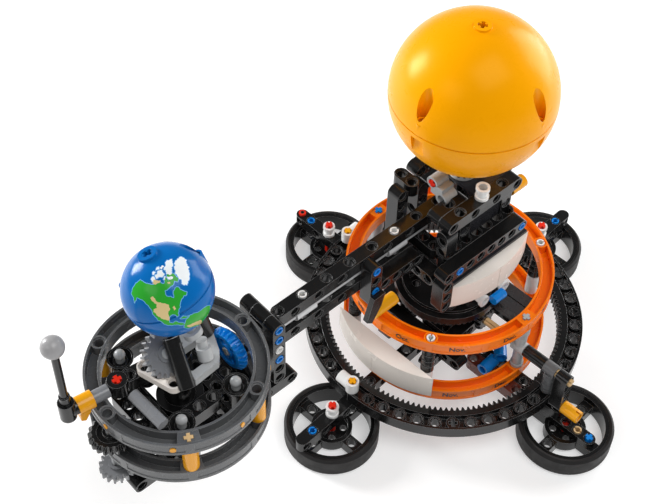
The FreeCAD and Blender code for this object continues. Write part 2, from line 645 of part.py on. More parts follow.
def arm():
    """The long double arm from the tower to the Earth stage, and its pointer."""
    start = -ARM_HOLE
    write("arm_beams", [
        beam((start + 16, 0, ARM_Z), (start - 96, 0, ARM_Z), (0, 0, 1), (0, 1, 0)),
        beam((start - 8, 0, ARM_Z - 16), (start - 96, 0, ARM_Z - 16), (0, 1, 0), (0, 0, 1)),
        beam((start - 8, -8.1, ARM_Z - 16), (start - 32, -8.1, ARM_Z - 16), (0, 1, 0)),
    ], True)

    x = -ARM_END
    uprights = []
    for y in (-8.0, 10.0):
        uprights.append(beam((x, y, END_Z), (x, y, END_Z - 5 * PITCH), (0, 1, 0)))
    bridge = rod(3.9, (x, -4.0, END_Z), (x, 6.0, END_Z))
    block = box(x - 3.9, x + 3.9, -4.0, 6.0, SHAFT_Z - 4.0, END_Z - 4.1)
    block = block.cut([
        rod(2.43, (x - 9, 0, SHAFT_Z), (x + 9, 0, SHAFT_Z)),
        rod(2.43, (x - 9, 0, DRIVE_Z), (x + 9, 0, DRIVE_Z)),
    ])
    write("arm_end_frame", uprights + [bridge, block], True)

    hang = -73.0
    side = -8.1
    z = ARM_Z - 0.5
    hanger = beam((hang, side, z), (hang, side, z - 24), (0, 1, 0))
    blade = Part.makePolygon([
        V(hang + 4, side - 4.1, z - 17),
        V(hang - 4, side - 4.1, z - 17),
        V(hang - 8.5, side - 4.1, z - 33),
        V(hang - 4.5, side - 4.1, z - 36.5),
        V(hang + 1.5, side - 4.1, z - 26),
        V(hang + 4, side - 4.1, z - 17),
    ])
    write("pointer", [hanger, Part.Face(blade).extrude(V(0, -3.2, 0))], True, ["arm_beams"])
    write("yellow_tubes", [
        tube(3.8, 2.4, (-70.5, side, 97.3), (-54.0, side, 97.3)),
        tube(3.8, 2.45, (22.0, -16, 136.0), (33.0, -16, 136.0)),
    ], True)

    pins = []
    for k in range(4):
        pins.append(push_pin((x, -8.0, END_Z - PITCH * k), (0, 1, 0), 8.4, False))
    for k in (0, 1):
        pins.append(push_pin((hang, side, z - 16 * k), (0, 1, 0), 8.4, False))
    for k in (0, 6):
        pins.append(push_pin((TOWER_X + PITCH * k, -TOWER_SIDE, LOWER_Z), (0, 1, 0), 8.4, False))
    for k in (1, 5):
        pins.append(push_pin((start - 16 * k, 0, ARM_Z), (0, 0, 1), 8.4, False))
    write("frame_pins", pins, True, ["arm_end_frame", "arm_beams", "pointer", "tower_rails"])


def arm_shafts():
    """The long axle in the arm, and the bevel gear shaft above its end."""
    axle = cross_bar((-ARM_END - 3.6, 0, SHAFT_Z), (-26, 0, SHAFT_Z))
    sleeves = [tube(3.7, 2.45, (x - 6.5, 0, SHAFT_Z), (x + 6.5, 0, SHAFT_Z)) for x in (-49.0, -113.0)]
    write("arm_shaft", [axle] + sleeves, True)
    write("stage_axle", [cross_bar((-163.6, 0, DRIVE_Z), (-ARM_END + 3.6, 0, DRIVE_Z))], True)
    wheel = gear(22, 5.6, 2.45, bevel=2.2, windows=4)
    write("blue_bevel_gear", [place(wheel, (-157.5, 0, DRIVE_Z), (-1, 0, 0))], True)


# ---------------------------------------------------------------- Sun, Earth, Moon

def sun():
    """The Sun, its gear and the axle it spins on."""
    upper = shift(half_ball(SUN_R, 2.0, True, SUN_WELLS, 3.7), z=SUN_Z)
    lower = shift(half_ball(SUN_R, 2.0, False, SUN_WELLS, 3.7), z=SUN_Z)
    write("sun_upper_shell", [upper], True)
    write("sun_lower_shell", [lower], True)
    write("sun_axle", [cross_bar((0, 0, DECK_Z - 6), (0, 0, SUN_Z + SUN_R + 0.2))], True)
    write("sun_gear", [shift(gear(24, 4.0, 2.45, bevel=1.0, hub=1.0), z=DECK_Z + 8.6)], True)


def stage():
    """The fixed Earth stage: phase rings, spacers, inner frame and under-frame."""
    c = STAGE_X
    low = channel_ring(STAGE_R, STAGE_LOW_Z, 8)
    high = channel_ring(STAGE_R, STAGE_HIGH_Z, 8)
    write("lower_phase_ring", [shift(spin(low, -30), x=c)], True)
    write("upper_phase_ring", [shift(spin(high, -30), x=c)], True)
    bar = tube(3.9, 2.45, (STAGE_R, 0, STAGE_LOW_Z + RAIL_H + 0.05), (STAGE_R, 0, STAGE_HIGH_Z - 0.05))
    peg = cross_bar((STAGE_R, 0, STAGE_HIGH_Z + 0.2), (STAGE_R, 0, STAGE_HIGH_Z + 7.9))
    spacers = [spin(bar, a) for a in (60, 120, 240, 300)] + [spin(peg, a) for a in (60, 240)]
    write("ring_spacers", [shift(spacer, x=c) for spacer in spacers], True)

    z = STAGE_LOW_Z + 4.0
    frame = [beam((c + dx, -24, z), (c + dx, 24, z), (0, 0, 1)) for dx in (-16, 16)]
    frame += [beam((c - 8, y, z + 8), (c + 8, y, z + 8), (0, 0, 1)) for y in (-16, 16)]
    bearing = rod(11.6, (c, 0, z - 3.9), (c, 0, z + 4.5))
    frame.append(bearing.cut(rod(7.65, (c, 0, 100), (c, 0, 160))))
    cups = []
    balls = []
    for dx in (-16, 16):
        for dy in (-24, 24):
            frame.append(tube(3.8, 2.4, (c + dx, dy, z + 4.0), (c + dx, dy, 146.0)))
            cups.append(dish(c + dx, dy))
            ball = Part.makeSphere(2.8, V(c + dx, dy, 152.2))
            balls.append(ball.fuse(rod(2.3, (c + dx, dy, 147.6), (c + dx, dy, 151))).removeSplitter())
    write("stage_frame", frame, True)
    write("dish_cups", cups, True)
    write("dish_balls", balls, True)

    under = []
    for y in (-8.0, 10.0):
        under.append(beam((-131.0, y, UNDER_Z), (-227.0, y, UNDER_Z), (0, 1, 0), (0, 0, 1)))
        for dx in (-28, 36):
            under.append(tube(3.8, 2.4, (c + dx, y, UNDER_Z + 4.0), (c + dx, y, STAGE_LOW_Z - 8.0)))
    for dx in (-31, 36):
        x = c + dx
        under.append(beam((x, -16, STAGE_LOW_Z - 4.0), (x, 16, STAGE_LOW_Z - 4.0), (1, 0, 0)))
    for dx in (-20, -12.1, 12.1, 20, 28):
        x = c + dx
        under.append(beam((x, -24, STAGE_LOW_Z - 4.2), (x, 24, STAGE_LOW_Z - 4.2), (0, 0, 1)))
    write("under_frame", under, True)


def dish(x, y):
    """A shallow round dish."""
    profile = Part.makePolygon([
        V(0, 0, 146.1),
        V(4.2, 0, 146.1),
        V(6.5, 0, 149.0),
        V(6.5, 0, 150.2),
        V(5.6, 0, 150.2),
        V(3.6, 0, 147.5),
        V(0, 0, 147.5),
        V(0, 0, 146.1),
    ])
    return shift(Part.Face(profile).revolve(V(0, 0, 0), Z, 360), x=x, y=y)


def far_shaft():
    """The upright shaft at the far end of the stage; it runs in the lower ring's boss."""
    x = STAGE_X - STAGE_R
    write("far_axle", [cross_bar((x, 0, 96.0), (x, 0, 144.5), 2.2)], True)
    write("far_bevel_gear", [shift(gear(20, 6.0, 2.45, bevel=1.8), x=x, z=133.4)], True)
    write("far_spur_gear", [shift(gear(16, 4.0, 2.45, hub=1.6), x=x, z=106.0)], True)


def moon():
    """The Moon carrier: sleeve, beam, hub, block, mast and ball."""
    z = MOON_ARM_Z

    def out(shapes):
        return [shift(spin(shape, MOON_ANGLE), x=STAGE_X) for shape in shapes]

    sleeve = tube(7.55, 5.0, (0, 0, 104.0), (0, 0, z - 3.8))
    bar = beam((0, 0, z), (24, 0, z), (0, 0, 1))
    bar = bar.fuse(tube(7.6, 4.0, (0, 0, z - 3.9), (0, 0, z + 3.9)))
    bar = bar.cut([rod(5.0, (0, 0, 90), (0, 0, z + 9)), rod(5.0, (30.2, 0, z - 9), (30.2, 0, z + 9))])
    bar = bar.fuse(sleeve).removeSplitter()
    hub = tube(4.8, 2.45, (30.2, 0, z - 3.9), (30.2, 0, z + 4.6))
    elbow = rod(3.9, (MOON_ORBIT, 0, z - 4.2), (MOON_ORBIT, 0, z + 7.0))
    elbow = elbow.fuse(rod(3.6, (51.1, 0, z), (MOON_ORBIT, 0, z))).removeSplitter()
    link = tube(3.3, 1.9, (35.1, 0, z), (43.0, 0, z))
    stay = rod(3.0, (26.8, 8.4, z + 0.5), (22.5, 29.0, z - 1.0))
    peg = cross_bar((30.2, 0, z - 3.8), (30.2, 0, z + 5.1))
    write("moon_arm", out([bar, hub, elbow, link, stay, peg]), True)
    fin = Part.makePolygon([
        V(45.4, -2, z - 2),
        V(50.8, -2, z - 2),
        V(50.8, -2, z - 10),
        V(48.6, -2, z - 11.2),
        V(45.4, -2, z - 6.2),
        V(45.4, -2, z - 2),
    ])
    block = rod(4.4, (43.1, 0, z), (51.0, 0, z)).fuse(Part.Face(fin).extrude(V(0, 4, 0)))
    write("moon_block", out([block.removeSplitter()]), True)
    ball = Part.makeSphere(MOON_R, V(MOON_ORBIT, 0, MOON_Z))
    mast = rod(1.9, (MOON_ORBIT, 0, z + 7.1), (MOON_ORBIT, 0, MOON_Z - MOON_R + 0.6))
    mast = mast.fuse(rod(2.6, (MOON_ORBIT, 0, z + 7.1), (MOON_ORBIT, 0, z + 12)))
    write("moon_mast", out([mast.cut(ball).removeSplitter()]), True)
    write("moon_ball", out([ball]), True)


def tilt_axis():
    """Unit vector of the Earth's axis, in the arm's frame."""
    lean = math.radians(AXIAL_TILT)
    heading = math.radians(TILT_HEADING)
    return V(math.sin(lean) * math.cos(heading), math.sin(lean) * math.sin(heading), math.cos(lean))


def earth_carrier():
    """The turning support that keeps the Earth's axis pointing one way."""
    c = STAGE_X
    floor = CARRIER_Z
    top = floor + 5.0

    outline = [
        (-8.2, -20), (-5, -22.5), (9, -21.5), (13, -17), (19, -3), (14, 2),
        (5, 4), (-9, 7), (-14.5, 5.5), (-12, 0.2), (-7.5, -3),
    ]
    points = [V(c + x, y, floor) for x, y in outline]
    plate = Part.Face(Part.makePolygon(points + [points[0]])).extrude(V(0, 0, top - floor))
    inner = [(-5.5, -16), (-3, -18), (8, -17.5), (10, -15), (13.5, -6), (8, -5.5), (-1, -5.5)]
    points = [V(c + x, y, floor - 1) for x, y in inner]
    plate = plate.cut(Part.Face(Part.makePolygon(points + [points[0]])).extrude(V(0, 0, 9)))
    column = rod(4.9, (c, 0, 104.0), (c, 0, floor + 1))
    normal = V(0.2, -0.7, 0.69)
    normal.normalize()
    centre = V(c - 10.3, -5.8, floor + 11.6)
    stub = rod(2.38, centre - normal * 9, centre + normal * 3.4)
    boss = rod(3.3, centre - normal * 11.2, centre - normal * 3.3)
    way = rod(4.05, (c - 10.6, -25.8, 166.0), (c - 4.5, -3.4, 190.0))
    wheel_room = rod(11.4, centre - normal * 3.2, centre + normal * 3.2)
    plate = fuse([plate.cut(wheel_room), column, stub, boss]).cut(way)

    axis = tilt_axis()
    globe = V(c, 0, EARTH_Z)
    leaning = tube(3.9, 2.4, (c - 9.6, -22.1, 170.0), (c - 5.2, -5.9, 187.4))
    second = tube(3.9, 2.4, (c + 14.6, -5.4, top + 0.8), (c + 12.2, -3.0, 187.0))
    cap = rod(4.6, globe - axis * 28.5, globe - axis * 25.6)
    cap = cap.cut(rod(2.43, globe - axis * 35, globe - axis * 20))
    write("carrier_struts", [leaning.cut(wheel_room), second], True)
    joint = rod(3.6, (c + 5.6, -16.6, top + 0.1), (c + 6.2, -14.2, top + 6.0))
    joint = joint.fuse(rod(2.6, (c + 6.2, -14.2, top + 5.0), (c + 6.6, -12.6, top + 9.6)))
    write("carrier_frame", [plate, joint.removeSplitter(), cap], True)
    lever = beam((c - 17.4, -1.0, floor + 1.95), (c - 12.9, -16.35, floor + 1.95), (0, 0, 1), depth=3.9)
    write("carrier_lever", [lever.cut([way, wheel_room])], True, ["carrier_frame"])

    wheel = gear(20, 3.6, 2.45, hub=1.2)
    write("tilt_gear", [place(wheel, centre - normal * 1.8, normal)], True)


def earth():
    """The Earth globe on its tilted axle."""
    axis = tilt_axis()
    centre = V(STAGE_X, 0, EARTH_Z)
    upper = place(half_ball(EARTH_R, 1.8, True, EARTH_WELLS, 3.0), centre, axis)
    lower = place(half_ball(EARTH_R, 1.8, False, (), 3.0), centre, axis)
    write("earth_upper_shell", [upper], True)
    write("earth_lower_shell", [lower], True)
    write("earth_axle", [rod(2.38, centre - axis * 29.5, centre + axis * EARTH_R)], True)


base()
crank()
turntable()
tower()
arm()
arm_shafts()
sun()
stage()
far_shaft()
moon()
earth_carrier()
earth()
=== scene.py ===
import math
import random

import bmesh
import bpy
import numpy as np
from mathutils import Matrix, Vector
from mathutils.geometry import delaunay_2d_cdt


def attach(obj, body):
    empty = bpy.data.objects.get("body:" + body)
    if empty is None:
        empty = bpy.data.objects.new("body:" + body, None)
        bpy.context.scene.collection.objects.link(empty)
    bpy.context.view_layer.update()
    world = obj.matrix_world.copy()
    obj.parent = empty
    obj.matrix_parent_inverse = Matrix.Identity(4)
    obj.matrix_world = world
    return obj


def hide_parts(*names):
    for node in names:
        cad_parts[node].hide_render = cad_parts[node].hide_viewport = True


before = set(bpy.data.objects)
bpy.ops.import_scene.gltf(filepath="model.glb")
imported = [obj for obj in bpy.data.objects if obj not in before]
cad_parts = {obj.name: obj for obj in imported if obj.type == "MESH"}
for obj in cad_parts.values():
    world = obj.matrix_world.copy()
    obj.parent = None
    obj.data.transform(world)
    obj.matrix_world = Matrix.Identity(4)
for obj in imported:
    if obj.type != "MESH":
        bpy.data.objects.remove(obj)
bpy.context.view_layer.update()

MM = 0.001
ARM_TURN = math.radians(-3.8)

# Millimetres, shared by the sections below.
STAGE_REACH = 192
SUN_Z = 211.0
SUN_POLE = 43.9
GLOBE_Z = 212.4
GLOBE_POLE = 20.8 + 0.9

# ------------------------------------------------------------------ materials

# Noise scales of the three textures on every plastic, and lengths in metres.
FLOW_SCALE = 22.0
MARK_SCALE = 160.0
SKIN_SCALE = 900.0
SKIN_HEIGHT = 0.0002
EDGE_RADIUS = 0.0003
# How far two normals agree, from an edge with the full painted highlight to a plain face.
PAINTED_GLINT_RANGE = (0.80, 0.99)


def new_material(name):
    """An empty material with one Principled shader."""
    mat = bpy.data.materials.new(name)
    mat.use_nodes = True
    tree = mat.node_tree
    tree.nodes.clear()
    out = tree.nodes.new("ShaderNodeOutputMaterial")
    bsdf = tree.nodes.new("ShaderNodeBsdfPrincipled")
    tree.links.new(bsdf.outputs[0], out.inputs[0])
    return mat, tree, bsdf


def plastic(name, colour, rough=0.25, shade=0.08, grain=0.02, spec=0.5, scuff=0.10,
            gloss_tint=(1, 1, 1), painted_edge_glint=0.0):
    """Moulded plastic: faint flow shading, fine grain, scuffs in the gloss and eased edges.

    The last argument is the grey that the eased edges are brightened to, a painted highlight in the
    base colour; 0 leaves them plain.
    """
    mat, tree, bsdf = new_material(name)
    node = tree.nodes.new
    link = tree.links.new
    coords = node("ShaderNodeTexCoord")
    flow = node("ShaderNodeTexNoise")
    flow.inputs["Scale"].default_value = FLOW_SCALE
    flow.inputs["Detail"].default_value = 3.0
    link(coords.outputs["Object"], flow.inputs["Vector"])
    tint = node("ShaderNodeValToRGB")
    tint.color_ramp.elements[0].position = 0.3
    tint.color_ramp.elements[1].position = 0.7
    tint.color_ramp.elements[0].color = [c * (1 - shade) for c in colour] + [1]
    tint.color_ramp.elements[1].color = [min(c * (1 + shade), 1) for c in colour] + [1]
    link(flow.outputs["Fac"], tint.inputs["Fac"])
    link(tint.outputs["Color"], bsdf.inputs["Base Color"])

    marks = node("ShaderNodeTexNoise")
    marks.inputs["Scale"].default_value = MARK_SCALE
    marks.inputs["Detail"].default_value = 5.0
    marks.inputs["Distortion"].default_value = 0.6
    link(coords.outputs["Object"], marks.inputs["Vector"])
    gloss = node("ShaderNodeMapRange")
    gloss.inputs["From Min"].default_value = 0.35
    gloss.inputs["From Max"].default_value = 0.75
    gloss.inputs["To Min"].default_value = rough
    gloss.inputs["To Max"].default_value = rough + scuff
    link(marks.outputs["Fac"], gloss.inputs["Value"])
    link(gloss.outputs["Result"], bsdf.inputs["Roughness"])

    eased = node("ShaderNodeBevel")
    eased.samples = 4
    eased.inputs["Radius"].default_value = EDGE_RADIUS
    skin = node("ShaderNodeTexNoise")
    skin.inputs["Scale"].default_value = SKIN_SCALE
    skin.inputs["Detail"].default_value = 2.0
    link(coords.outputs["Object"], skin.inputs["Vector"])
    bump = node("ShaderNodeBump")
    bump.inputs["Strength"].default_value = grain
    bump.inputs["Distance"].default_value = SKIN_HEIGHT
    link(skin.outputs["Fac"], bump.inputs["Height"])
    link(eased.outputs["Normal"], bump.inputs["Normal"])
    link(bump.outputs["Normal"], bsdf.inputs["Normal"])
    # Painted highlight: the base colour is lightened towards a grey along the eased edges.
    if painted_edge_glint:
        plain = node("ShaderNodeBevel")
        plain.samples = 2
        plain.inputs["Radius"].default_value = 0.0
        bend = node("ShaderNodeVectorMath")
        bend.operation = "DOT_PRODUCT"
        link(plain.outputs["Normal"], bend.inputs[0])
        link(eased.outputs["Normal"], bend.inputs[1])
        rim = node("ShaderNodeMapRange")
        rim.inputs["From Min"].default_value = PAINTED_GLINT_RANGE[0]
        rim.inputs["From Max"].default_value = PAINTED_GLINT_RANGE[1]
        rim.inputs["To Min"].default_value = 1.0
        rim.inputs["To Max"].default_value = 0.0
        link(bend.outputs["Value"], rim.inputs["Value"])
        blend = node("ShaderNodeMixRGB")
        blend.inputs["Color2"].default_value = (painted_edge_glint, painted_edge_glint, painted_edge_glint, 1)
        link(rim.outputs["Result"], blend.inputs["Fac"])
        link(tint.outputs["Color"], blend.inputs["Color1"])
        link(blend.outputs["Color"], bsdf.inputs["Base Color"])
    bsdf.inputs["Specular IOR Level"].default_value = spec
    bsdf.inputs["Specular Tint"].default_value = (*gloss_tint, 1)
    return mat


# black and dark_grey carry a painted highlight along their edges.
MATS = {
    "black": plastic("black", (0.006, 0.006, 0.0062), 0.16, 0.2, 0.03, spec=0.45, painted_edge_glint=0.3),
    "tyre": plastic("tyre", (0.014, 0.013, 0.013), 0.5, 0.25, 0.25, spec=0.3, scuff=0.2),
    "dark_grey": plastic("dark_grey", (0.105, 0.108, 0.112), 0.22, 0.08, spec=0.4, painted_edge_glint=0.32),
    "mid_grey": plastic("mid_grey", (0.20, 0.205, 0.215), 0.24, 0.06),
    "charcoal": plastic("charcoal", (0.045, 0.045, 0.047), 0.24, 0.1),
    "pale_grey": plastic("pale_grey", (0.62, 0.62, 0.63), 0.2, 0.04),
    "light_grey": plastic("light_grey", (0.40, 0.41, 0.415), 0.22, 0.05),
    "white": plastic("white", (0.80, 0.80, 0.79), 0.2, 0.03),
    "warm_white": plastic("warm_white", (0.82, 0.76, 0.70), 0.2, 0.03),
    "orange": plastic("orange", (0.9, 0.185, 0.002), 0.2, 0.04, spec=0.4),
    "red": plastic("red", (0.72, 0.02, 0.005), 0.22, 0.08),
    "brown": plastic("brown", (0.10, 0.02, 0.012), 0.22, 0.1),
    "tan": plastic("tan", (0.66, 0.45, 0.22), 0.22, 0.05),
    "blue": plastic("blue", (0.002, 0.2, 0.64), 0.2, 0.08),
    "amber": plastic("amber", (0.84, 0.36, 0.006), 0.2, 0.05, spec=0.35),
    "sun": plastic("sun", (0.97, 0.385, 0.0003), 0.27, 0.02, 0.008, spec=0.24, scuff=0.03,
                   gloss_tint=(1.0, 0.72, 0.18)),
    "earth": plastic("earth", (0.001, 0.13, 0.43), 0.17, 0.03, 0.008, spec=0.18, scuff=0.03),
    "moon": plastic("moon", (0.34, 0.335, 0.34), 0.3, 0.04),
    "ink": plastic("ink", (0.012, 0.006, 0.004), 0.35, 0.1),
}


def dress(node, *names):
    """Replace a CAD node's material slots."""
    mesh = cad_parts[node].data
    mesh.materials.clear()
    for name in names:
        mesh.materials.append(MATS[name])
    mesh.polygons.foreach_set("material_index", [0] * len(mesh.polygons))


def to_arm(point):
    """World millimetres to the arm's own frame."""
    c, s = math.cos(-ARM_TURN), math.sin(-ARM_TURN)
    return Vector((point[0] * c - point[1] * s, point[0] * s + point[1] * c, point[2]))


def loose_parts(node):
    """Label every face of a node with its loose part; also each part's box in mm."""
    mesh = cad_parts[node].data
    co = np.empty(len(mesh.vertices) * 3, np.float32)
    mesh.vertices.foreach_get("co", co)
    co = co.reshape(-1, 3).astype(float)
    _, same = np.unique(np.round(co * 1e5).astype(np.int64), axis=0, return_inverse=True)
    same = same.reshape(-1)
    faces = np.array([same[list(p.vertices)[:3]] for p in mesh.polygons])
    label = np.arange(same.max() + 1)
    while True:
        low = label[faces].min(axis=1)
        before = label.copy()
        for k in range(3):
            np.minimum.at(label, faces[:, k], low)
        label = label[label]
        if (label == before).all():
            break
    face_label = label[faces[:, 0]]
    parts = {}
    point_label = label[same]
    for value in np.unique(face_label):
        mine = co[point_label == value] * 1000
        parts[value] = (Vector(mine.min(0)), Vector(mine.max(0)))
    return face_label, parts


def paint_parts(node, names, rule):
    """Colour a node's loose parts: rule(centre, size) gives the slot number."""
    dress(node, *names)
    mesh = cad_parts[node].data
    labels, parts = loose_parts(node)
    choice = {}
    for value, (low, high) in parts.items():
        choice[value] = rule((low + high) / 2, high - low)
    mesh.polygons.foreach_set("material_index", [choice[v] for v in labels])


PLAIN = {
    "black": "ring_gear_quarters leg_beams centre_bearing turntable tower_uprights tower_rails "
             "arm_beams arm_end_frame pointer stage_frame dish_cups under_frame crank_lever "
             "far_bevel_gear carrier_struts moon_mast sun_gear crank_pinion foot_wheels",
    "tyre": "foot_tyres",
    "dark_grey": "lower_phase_ring upper_phase_ring centre_column sun_axle",
    "pale_grey": "arm_shaft",
    "light_grey": "axle_guides far_axle carrier_frame stage_axle earth_axle dish_balls",
    "mid_grey": "far_spur_gear tilt_gear",
    "white": "leg_connectors",
    "moon": "moon_ball",
    "warm_white": "lower_crescent upper_crescent carrier_lever",
    "orange": "lower_month_ring upper_month_ring",
    "blue": "blue_bevel_gear",
    "amber": "crank_grip yellow_tubes moon_block",
    "sun": "sun_upper_shell sun_lower_shell",
    "earth": "earth_upper_shell earth_lower_shell",
}
for colour, nodes in PLAIN.items():
    for node in nodes.split():
        dress(node, colour)


# The rules below tell a node's parts apart by where they lie and how large they are, in mm.
MOON_HEADING = math.radians(171.6)
MOON_PEG_REACH = 30.2


def fitting_colour(centre, size):
    """Angled connector with its red axle, the blue sleeve, and the white bushes."""
    if centre.x < -12 and centre.z > 150:
        return 2 if size.y < 6 else 1
    if centre.z < 80 and size.x > 8.5:
        return 3
    return 0


def moon_colour(centre, size):
    """The Moon arm's parts run outwards from the stage axis at one heading."""
    point = to_arm(centre)
    c, s = math.cos(MOON_HEADING), math.sin(MOON_HEADING)
    x = point.x + STAGE_REACH
    along = x * c + point.y * s
    across = -x * s + point.y * c
    if abs(along - MOON_PEG_REACH) < 1.5 and abs(across) < 1.5:
        return 2 if max(size.x, size.y) < 6 else 0
    if abs(along - 39) < 3 or across > 9:
        return 1
    return 0


paint_parts("base_beams", ("black", "brown"), lambda c, s: int(abs(c.x + 8.2) < 2 and c.y < -40))
paint_parts("leg_axles", ("red", "amber"), lambda c, s: int(c.z > 31))
paint_parts("base_pins", ("blue", "tan"), lambda c, s: int(abs(c.y + 104) < 2 and c.z < 16))
paint_parts("ring_posts", ("white", "black"), lambda c, s: int(c.z > 50))
paint_parts("ring_pins", ("white", "light_grey", "blue"),
            lambda c, s: (2 if c.y > 0 else 1) if abs(c.x) < 3 else 0)
paint_parts("frame_pins", ("blue", "white"),
            lambda c, s: int(c.z > 137.9 and c.x > -125 and s.z > 6 or abs(c.z - 130.2) < 1))
paint_parts("deck_fittings", ("white", "light_grey", "red", "blue"), fitting_colour)
paint_parts("crank_stand", ("dark_grey", "charcoal"), lambda c, s: int(c.y > -60))
paint_parts("crank_axle", ("tan", "black"), lambda c, s: int(s.x > 6))
paint_parts("ring_spacers", ("amber", "tan"), lambda c, s: int(c.z > 148))
paint_parts("moon_arm", ("black", "mid_grey", "red"), moon_colour)

# ------------------------------------------------------------------ labels on the month rings

MONTHS = "Apr. May Jun. Jul. Aug. Sep. Oct. Nov. Dec. Jan. Feb. Mar.".split()
MONTH_FACE = 59.7           # mm from the Sun's axis to the face that is printed on
MONTH_LEVELS = (("upper", 73.1), ("lower", 28.6))
FIRST_MONTH = 15            # degrees
MONTH_STEP = 30
LETTER_SIZE = 4.7
LETTER_DEPTH = 0.00003      # metres, as is the next
LETTER_WEIGHT = 0.00011


def ring_text(name, word, heading, z):
    """Printed lettering wrapped round the outside of a month ring."""
    curve = bpy.data.curves.new(name, "FONT")
    curve.body = word
    curve.size = LETTER_SIZE * MM
    curve.align_x = "CENTER"
    curve.align_y = "CENTER"
    curve.extrude = LETTER_DEPTH
    curve.offset = LETTER_WEIGHT
    curve.resolution_u = 4
    source = bpy.data.objects.new(name + "_source", curve)
    bpy.context.scene.collection.objects.link(source)
    bpy.context.view_layer.update()
    solid = source.evaluated_get(bpy.context.evaluated_depsgraph_get())
    mesh = bpy.data.meshes.new_from_object(solid)
    bpy.data.objects.remove(source)
    for vert in mesh.vertices:
        angle = math.radians(heading) + vert.co.x / (MONTH_FACE * MM)
        reach = MONTH_FACE * MM + vert.co.z
        vert.co = Vector((
            reach * math.cos(angle),
            reach * math.sin(angle),
            z * MM + vert.co.y,
        ))
    obj = bpy.data.objects.new(name, mesh)
    bpy.context.scene.collection.objects.link(obj)
    mesh.materials.append(MATS["ink"])
    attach(obj, "base")


for index, month in enumerate(MONTHS):
    for level, z in MONTH_LEVELS:
        ring_text(f"{level}_month_{index + 1}_print", month, FIRST_MONTH + MONTH_STEP * index, z)

# ------------------------------------------------------------------ printed land on the globe

STAGE = Vector((-STAGE_REACH * math.cos(ARM_TURN), -STAGE_REACH * math.sin(ARM_TURN), 0))
GLOBE = Vector((STAGE.x, STAGE.y, GLOBE_Z)) * MM
GLOBE_R = 0.0208
LEAN = math.radians(23.4)
HEADING = math.radians(112) + ARM_TURN
POLE = Vector((
    math.sin(LEAN) * math.cos(HEADING),
    math.sin(LEAN) * math.sin(HEADING),
    math.cos(LEAN),
))
GLOBE_TURN = Matrix.Rotation(ARM_TURN, 3, "Z") @ Vector((0, 0, 1)).rotation_difference(
    Matrix.Rotation(-ARM_TURN, 3, "Z") @ POLE).to_matrix()

MATS["land"] = plastic("land", (0.028, 0.36, 0.03), 0.17, 0.10, 0.008, spec=0.2)
MATS["shore"] = plastic("shore", (0.16, 0.42, 0.83), 0.17, 0.04, 0.008, spec=0.2)
MATS["desert"] = plastic("desert", (0.70, 0.54, 0.26), 0.17, 0.08, 0.008, spec=0.2)
MATS["ice"] = plastic("ice", (0.86, 0.90, 0.92), 0.17, 0.03, 0.008, spec=0.2)


COAST_ROUNDS = 3


def rough_coast(points, amount, seed):
    """Break a closed outline into a natural coast by midpoint displacement."""
    rng = random.Random(seed)
    line = [Vector(p) for p in points]
    for _ in range(COAST_ROUNDS):
        finer = []
        for k, a in enumerate(line):
            b = line[(k + 1) % len(line)]
            side = Vector((b.y - a.y, a.x - b.x))
            finer.append(a)
            finer.append((a + b) / 2 + side * rng.uniform(-amount, amount))
        line = finer
    return line


SWELL_SPAN = 3              # points to either side that give the shore's direction


def swell(line, width):
    """Outline pushed outwards, for the pale band along a shore."""
    count = len(line)
    area = sum(line[k - 1].x * line[k].y - line[k].x * line[k - 1].y for k in range(count))
    sign = 1 if area > 0 else -1
    out = []
    for k in range(count):
        edge = line[(k + SWELL_SPAN) % count] - line[k - SWELL_SPAN]
        normal = Vector((edge.y, -edge.x))
        if normal.length > 1e-6:
            normal.normalize()
        out.append(line[k] + normal * width * sign)
    return out


# The globe's open wells: headings in degrees, distance from its axis and radius in mm.
WELL_HEADINGS = (-8, 60, 128)
WELL_REACH = 16.9
WELL_EDGE = 3.15
WELL_POINTS = 40
# A well is cut from a patch only if all of it is within this many degrees of the patch's centre.
WELL_NEAR = 100


def well_outlines(middle, north, east):
    """Outlines of the globe's wells, in degrees east and north of a patch's centre."""
    rims = []
    for heading in WELL_HEADINGS:
        rim = []
        for k in range(WELL_POINTS):
            t = 2 * math.pi * k / WELL_POINTS
            flat = Matrix.Rotation(math.radians(heading), 3, "Z") @ Vector((
                WELL_REACH + WELL_EDGE * math.cos(t), WELL_EDGE * math.sin(t), 0))
            flat.z = math.sqrt(max(0.0, (GLOBE_R / MM) ** 2 - flat.length_squared))
            way = flat.normalized()
            reach = math.degrees(math.acos(max(-1.0, min(1.0, way.dot(middle)))))
            side = Vector((way.dot(east), way.dot(north))).normalized()
            rim.append(side * reach)
        if max(p.length for p in rim) < WELL_NEAR:
            rims.append(rim)
    return rims


def inside(point, outline):
    """True when a flat point lies inside a closed outline."""
    hit = False
    for k, a in enumerate(outline):
        b = outline[k - 1]
        if (a.y > point.y) != (b.y > point.y):
            if point.x < a.x + (point.y - a.y) * (b.x - a.x) / (b.y - a.y):
                hit = not hit
    return hit


# Inner points of a patch, in degrees; the nudge keeps them off its outline.
PATCH_STEP = 2.5
PATCH_NUDGE = (0.013, 0.017)


